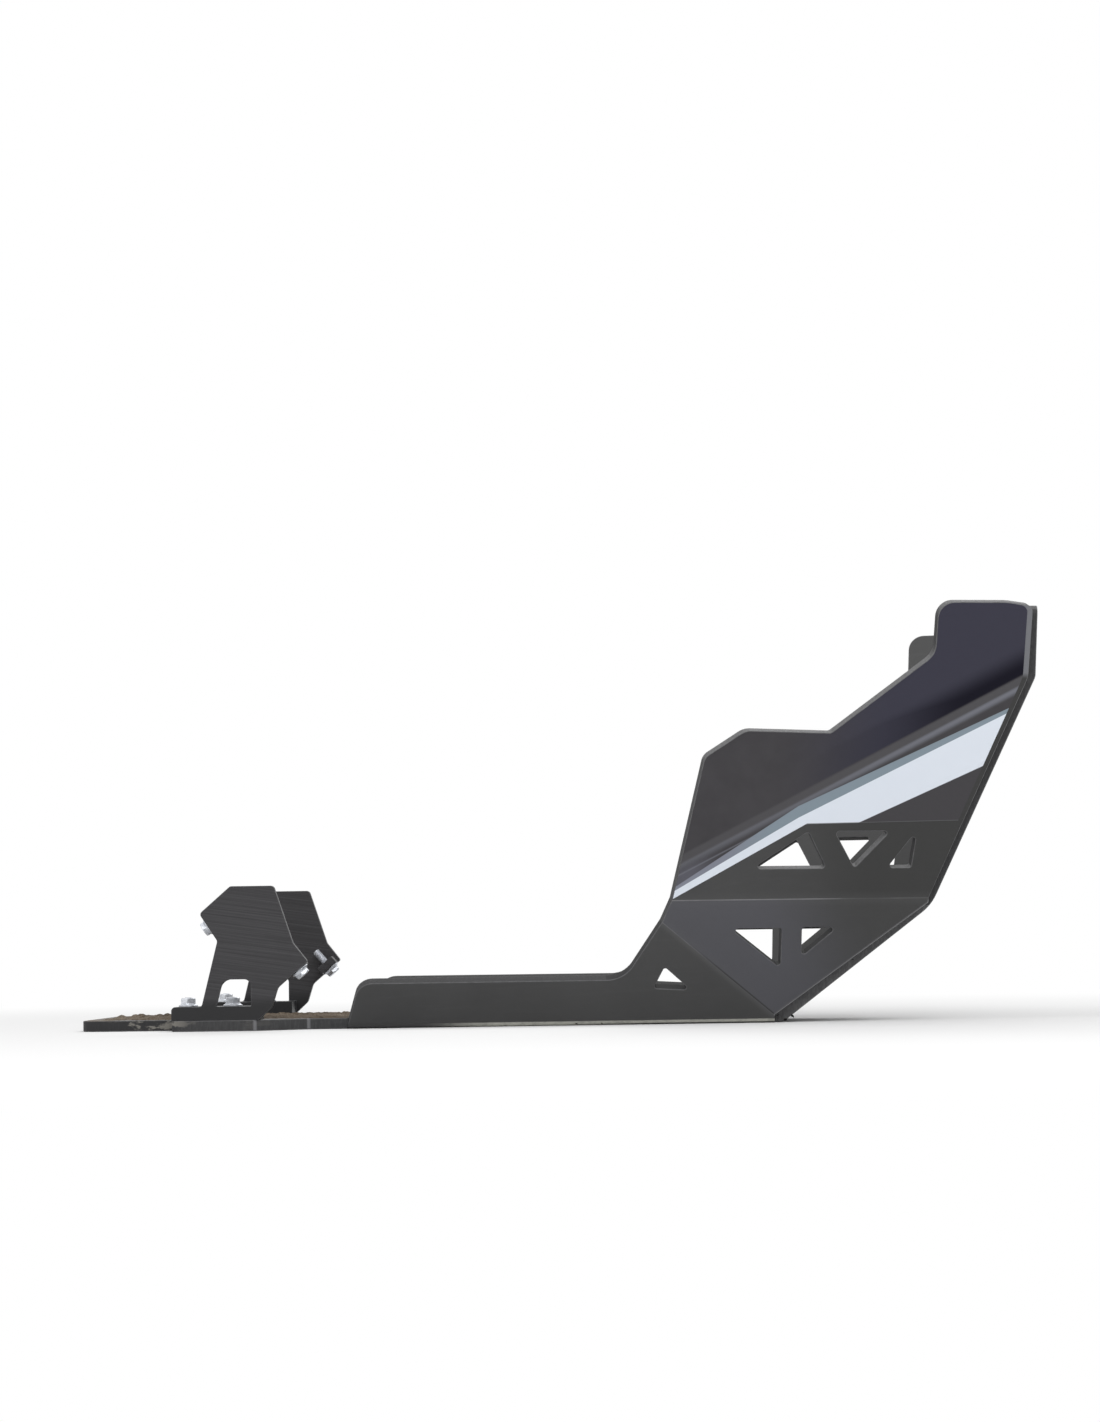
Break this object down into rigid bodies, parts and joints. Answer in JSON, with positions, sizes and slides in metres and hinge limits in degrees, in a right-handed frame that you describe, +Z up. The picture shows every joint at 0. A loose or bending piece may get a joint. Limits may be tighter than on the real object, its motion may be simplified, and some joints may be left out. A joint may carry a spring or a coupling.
{
  "type": "motorcycle skid plate",
  "caption": "Folded black plastic skid plate for an off-road motorcycle: a flat bottom with a tail, raised vented side wings, a bent front and bolted rear brackets.",
  "frame": {"origin": "centre of the bounding box, on the underside of the bottom panel", "axes": "+X forward to the folded front, +Y to the left side, +Z up"},
  "size_m": [0.7119, 0.3164, 0.306],
  "materials": {
    "black_sheet": "satin black polyethylene sheet with a faint milled grain and pale fold lines",
    "black_bracket": "black coated, fine slanted brushed lines",
    "zinc_fastener": "bright zinc plated",
    "printed_film": "charcoal printed film with a pale stripe"
  },
  "bodies": {
    "root": {"skid_plate": "black_sheet", "bracket_right": "black_bracket", "bracket_left": "black_bracket", "bracket_screws": "zinc_fastener", "bracket_nuts": "zinc_fastener", "hanger_bolts": "zinc_fastener", "graphic_film_right": "printed_film"}
  },
  "joints": []
}
